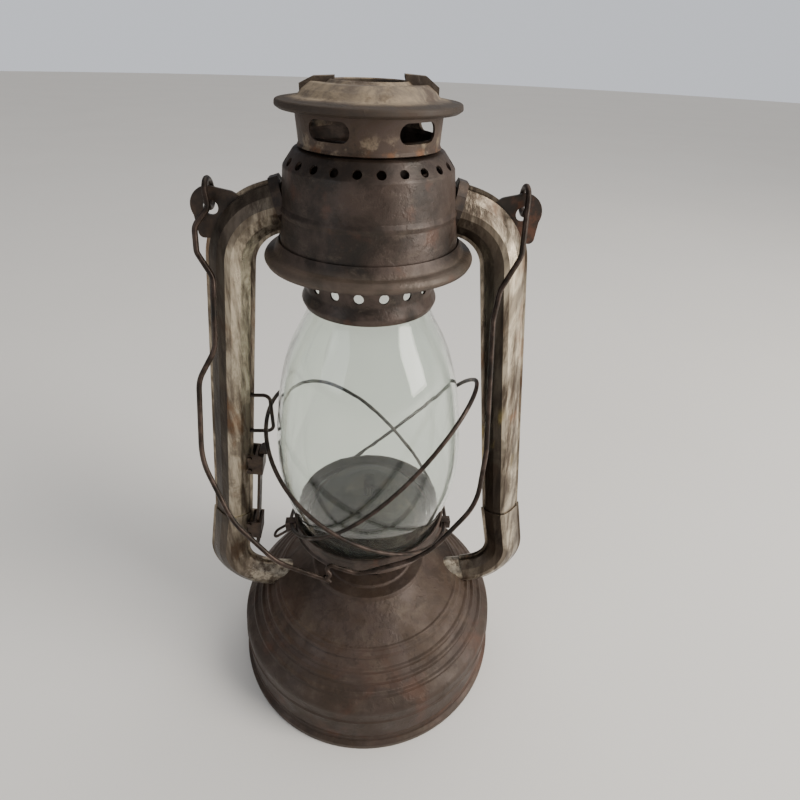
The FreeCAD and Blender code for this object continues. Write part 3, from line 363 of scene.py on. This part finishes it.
def worn_tin(name, seed, paint=NOWHERE, bare=NOWHERE):
    """Air tubes: old tinning in upright streaks, broken by brown rust, with painted shade on the flanks that
    face left and on the faces turned fully right.

    There is a trace of yellow paint between the two heights of paint, and metal rubbed bare under the
    elbow between the two distances of bare.
    """
    f = Finish(name, metallic=0.75)
    streaks = f.clouds(0.0032, detail=7.0, grain=0.62, stretch=(1, 1, 9), shift=seed)
    colour = f.ramp(streaks, [(0.26, BROWN_RUST), (0.40, GREY_DUST), (0.56, TIN)])
    rust = f.between(f.clouds(0.013, detail=8.0, grain=0.68, stretch=(1, 1, 2.6), shift=seed + 2, swirl=0.5),
                     0.44, 0.57)
    colour = f.mix(f.times(rust, 0.68), colour, f.mix(streaks, DARK_RUST_AND_SHADE, GREY_DUST))
    stain = f.between(f.clouds(0.013, detail=5.0, stretch=(1, 1, 1.6), shift=seed + 12), 0.55, 0.68)
    colour = f.mix(f.times(stain, 0.5), colour, ORANGE_RUST)
    # painted shade: faces turned to the left are darkened nearly to black, as if lit from the right alone
    painted_shade_left = f.between(f.axis(f.facing, "X"), 0.20, -0.35)
    colour = f.mix(f.times(painted_shade_left, 0.92), colour, f.mix(streaks, SOOT_AND_SHADE, DARK_RUST_AND_SHADE))
    # painted shade: faces turned fully to the right are darkened too, so the bright tin is left only in a
    # narrow band between
    painted_shade_far_right = f.between(f.axis(f.facing, "X"), 0.66, 0.90)
    colour = f.mix(f.times(painted_shade_far_right, 0.6), colour, f.mix(streaks, DARK_RUST_AND_SHADE, GREY_DUST))
    bend = f.times(f.at_height(TUBE_BEND),
                   f.between(f.clouds(0.012, detail=7.0, shift=seed + 11), 0.34, 0.56))
    colour = f.mix(f.times(bend, 0.7), colour, f.mix(streaks, DARK_RUST_AND_SHADE, GREY_DUST))
    foot = f.times(f.at_height(TUBE_FOOT),
                   f.between(f.clouds(0.012, detail=6.0, shift=seed + 3), 0.34, 0.54))
    colour = f.mix(f.times(foot, 0.75), colour, f.mix(streaks, DARK_RUST_AND_SHADE, GREY_DUST))
    yellow = f.times(f.between(f.clouds(0.010, detail=5.0, stretch=(1, 1, 3), shift=seed + 4), 0.50, 0.64),
                     f.between(f.height(), paint[0], paint[0] + 0.01),
                     f.between(f.height(), paint[1], paint[1] - 0.01))
    colour = f.mix(f.times(yellow, 0.65), colour, YELLOW_STAIN)
    aside = f.calc("ABSOLUTE", f.axis(f.place, "X"))
    rubbed = f.times(f.at_height(ELBOW_UNDERSIDE), f.between(aside, bare[0], bare[0] + 0.003),
                     f.between(aside, bare[1], bare[1] - 0.006),
                     f.between(f.clouds(0.0042, detail=7.0, grain=0.72, shift=seed + 5), 0.42, 0.58))
    colour = f.mix(f.times(rubbed, 0.8), colour, BARE_METAL)
    f.bump(f.clouds(0.0028, detail=3.0, stretch=(1, 1, 14), shift=seed + 6), 0.00022)
    f.bump(f.clouds(0.030, detail=1.5, shift=seed + 7), 0.0006)
    f.bump(f.clouds(0.0016, detail=5.0, grain=0.7, shift=seed + 8), 0.00007)
    f.bump(rust, 0.00005)
    f.vary("Roughness", f.clouds(0.008, detail=5.0, stretch=(1, 1, 3), shift=seed + 9), 0.26, 0.46)
    return f.done(colour)


def blackened(name, seed, light=PURPLE_RUST, metallic=0.5):
    """Wires, guides, levers, ears and sockets: blackened steel, rubbed brown."""
    f = Finish(name, metallic=metallic)
    patches = f.clouds(0.006, detail=6.0, grain=0.65, shift=seed)
    colour = f.ramp(patches, [(0.30, SOOT_AND_SHADE), (0.46, DARK_RUST_AND_SHADE), (0.62, light), (0.75, BROWN_RUST)])
    f.bump(f.clouds(0.0012, detail=4.0, grain=0.7, shift=seed + 1), 0.00006)
    f.vary("Roughness", f.clouds(0.005, detail=4.0, shift=seed + 2), 0.30, 0.6)
    return f.done(colour)


def sooty_brass():
    """Burner: brass under a green-grey coat of soot."""
    f = Finish("sooty_brass", metallic=0.35)
    patches = f.clouds(0.010, detail=7.0, grain=0.62, swirl=0.3, shift=2.0)
    colour = f.ramp(patches, [(0.30, SOOT_AND_SHADE), (0.48, GREEN_SOOT), (0.80, GREY_DUST)])
    bare = f.between(f.clouds(0.004, detail=5.0, shift=9.0), 0.66, 0.74)
    colour = f.mix(f.times(bare, 0.5), colour, OLD_BRASS)
    f.bump(f.clouds(0.0015, detail=5.0, grain=0.7, shift=4.0), 0.00006)
    f.vary("Roughness", patches, 0.5, 0.8)
    return f.done(colour)


def old_glass():
    """Globe: clear glass with a pale green cast, a film of dust and soot at its mouth."""
    f = Finish("globe_glass", roughness=0.03)
    f.shader.inputs["IOR"].default_value = 1.46
    film = f.clouds(0.022, detail=5.0, grain=0.6, swirl=0.8, shift=2.0)
    f.vary("Transmission Weight", film, 1.0, 0.975)
    f.vary("Roughness", f.clouds(0.03, detail=4.0, shift=6.0), 0.0, 0.03)
    mouth = f.at_height(GLOBE_MOUTH)
    colour = f.mix(f.times(mouth, 0.3), GLASS_TINT, SOOTY_GLASS)
    f.bump(f.clouds(0.018, detail=1.5, stretch=(1, 1, 2), shift=1.0), 0.0002)
    return f.done(colour)


def cotton_wick():
    """Flat woven wick, charred at its top."""
    f = Finish("cotton_wick", roughness=0.95)
    braid = f.add("ShaderNodeTexWave", wave_type="BANDS", bands_direction="DIAGONAL")
    f.feed(braid.inputs["Vector"], f.place)
    braid.inputs["Scale"].default_value = 420.0
    char = f.between(f.calc("ADD", f.height(), f.times(f.clouds(0.004), 0.004)), *WICK_CHARRED)
    colour = f.mix(f.clouds(0.006), COTTON, GREY_DUST)
    f.bump(braid.outputs["Fac"], 0.0002)
    return f.done(f.mix(char, colour, SOOT_AND_SHADE))


def cork():
    """Seal ring of the filler cap."""
    f = Finish("cork_seal", roughness=0.85)
    grains = f.cells(0.0012)
    f.bump(grains, 0.0001)
    return f.done(f.mix(f.between(grains, 0.2, 0.6), CORK, BROWN_RUST))


def finish_all():
    """Gives every node its finish."""
    tank, chamber, brass = tank_rust(), chamber_rust(), sooty_brass()
    tin_left = worn_tin("tin_left", 3.0, bare=LEFT_BARE)
    tin_right = worn_tin("tin_right", 23.0, paint=RIGHT_PAINT)
    wire, steel = blackened("black_wire", 5.0), blackened("dark_steel", 15.0, BROWN_RUST)
    groups = [
        (tank, ["tank_shell", "tank_base", "air_dome", "fuel_deck", "filler_neck", "filler_cap"]),
        (chamber, ["air_chamber", "chamber_skirt", "globe_cap", "globe_plate"]),
        (crown_crust(), ["hood_crown", "hood_lugs"]),
        (band_rust(), ["hood_band"]),
        (tin_left, ["left_air_tube", "left_elbow", "foot_pipes"]),
        (tin_right, ["right_air_tube", "right_elbow"]),
        (blackened("sooty_sheet", 33.0, BROWN_RUST, 0.3), ["left_ear", "tube_sockets"]),
        (blackened("red_sheet", 38.0, RED_RUST, 0.3), ["right_ear"]),
        (wire, ["left_guard_ring", "right_guard_ring", "guard_clips", "guard_staple", "lift_link"]),
        (wire, ["hood_spring", "chimney_tube"]),
        (blackened("bail_wire", 25.0, PURPLE_RUST, 0.6), ["bail"]),
        (steel, ["lift_strip", "lift_brackets", "lift_rivets", "wick_spindle", "wick_knob"]),
        (brass, ["burner_plate", "burner_cone", "burner_body", "wick_tube", "wick_wheels", "burner_collar"]),
        (old_glass(), ["globe"]),
        (cotton_wick(), ["wick"]),
        (cork(), ["filler_gasket"]),
    ]
    for material, names in groups:
        for name in names:
            cad[name].data.materials.clear()
            cad[name].data.materials.append(material)
    named = {name for _, names in groups for name in names}
    missing = sorted(set(cad) - named)
    if missing:
        raise ValueError(f"no finish for {missing}")


def make_spring():
    """Hood spring, which is pressed up against the chamber's top as the hood is lifted: here a copy of it
    with its own mesh, fixed to the frame in place of the packed one; the copy keeps the packed shape.
    """
    packed = cad["hood_spring"]
    spring = bpy.data.objects.new("pressed_hood_spring", packed.data.copy())
    bpy.context.scene.collection.objects.link(spring)
    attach(spring, "frame")
    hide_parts("hood_spring")
    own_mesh(spring)


# ---- studio --------------------------------------------------------------------------
def make_floor():
    """Plain pale floor that the lantern stands on."""
    lowest = min(corner[2] for corner in cad_box)
    bpy.ops.mesh.primitive_circle_add(vertices=96, radius=FLOOR_RADIUS, fill_type="NGON",
                                      location=(0, 0, lowest))
    floor = bpy.context.object
    floor.name = "floor"
    f = Finish("pale_floor", roughness=0.75)
    shade = f.clouds(0.25, detail=3.0)
    floor.data.materials.append(f.done(f.mix(shade, FLOOR_COLOUR, [c * 0.93 for c in FLOOR_COLOUR])))


def add_window(name, place, size, energy, colour):
    """Large soft light that faces the lantern."""
    light = bpy.data.lights.new(name, "AREA")
    light.shape = "RECTANGLE"
    light.size, light.size_y = size
    light.energy = energy
    light.color = colour
    lamp = bpy.data.objects.new(name, light)
    bpy.context.scene.collection.objects.link(lamp)
    lamp.location = place
    lamp.rotation_euler = (Vector(LIGHTS_FACE) - Vector(place)).to_track_quat("-Z", "Y").to_euler()


def make_sky():
    """Room light that grows from left to right, and a bright backdrop for the camera alone."""
    world = bpy.data.worlds.new("studio")
    world.use_nodes = True
    tree = world.node_tree
    background = tree.nodes["Background"]
    background.inputs["Color"].default_value = (*SKY_COLOUR, 1.0)
    coordinates = tree.nodes.new("ShaderNodeTexCoord")
    split = tree.nodes.new("ShaderNodeSeparateXYZ")
    across = tree.nodes.new("ShaderNodeMapRange")
    across.inputs["From Min"].default_value = -SKY_REACH
    across.inputs["From Max"].default_value = SKY_REACH
    across.inputs["To Min"].default_value = SKY_LEFT
    across.inputs["To Max"].default_value = SKY_RIGHT
    tree.links.new(coordinates.outputs["Generated"], split.inputs["Vector"])
    tree.links.new(split.outputs["X"], across.inputs["Value"])
    path = tree.nodes.new("ShaderNodeLightPath")
    seen = tree.nodes.new("ShaderNodeMix")
    seen.inputs["B"].default_value = SKY_SEEN
    tree.links.new(path.outputs["Is Camera Ray"], seen.inputs["Factor"])
    tree.links.new(across.outputs["Result"], seen.inputs["A"])
    tree.links.new(seen.outputs["Result"], background.inputs["Strength"])
    bpy.context.scene.world = world


def add_top_light():
    """Very soft light from above and behind, the same over the whole floor."""
    light = bpy.data.lights.new("top_light", "SUN")
    light.energy = TOP_STRENGTH
    light.angle = math.radians(TOP_SPREAD)
    light.color = WINDOW_COLOUR
    lamp = bpy.data.objects.new("top_light", light)
    bpy.context.scene.collection.objects.link(lamp)
    lamp.rotation_euler = Vector(TOP_FROM).to_track_quat("Z", "Y").to_euler()


def make_light():
    """Room light, soft window from the right, weak fill from the left and soft top light."""
    make_sky()
    add_window("right_window", WINDOW_AT, WINDOW_SIZE, WINDOW_WATTS, WINDOW_COLOUR)
    add_window("left_fill", FILL_AT, FILL_SIZE, FILL_WATTS, FILL_COLOUR)
    add_top_light()


def make_camera():
    """Camera where the photo was taken from, fitted to the lantern's outlines."""
    camera = bpy.data.objects.new("camera", bpy.data.cameras.new("camera"))
    bpy.context.scene.collection.objects.link(camera)
    camera.data.sensor_width = SENSOR
    camera.data.lens = LENS
    camera.data.clip_start = 0.01
    camera.location = CAMERA_AT
    turned = Euler((math.radians(CAMERA_TILT), 0, math.radians(CAMERA_TURN)))
    turned.rotate_axis("Z", math.radians(CAMERA_ROLL))
    camera.rotation_euler = turned
    bpy.context.scene.camera = camera


finish_all()
make_spring()
make_floor()
make_light()
make_camera()
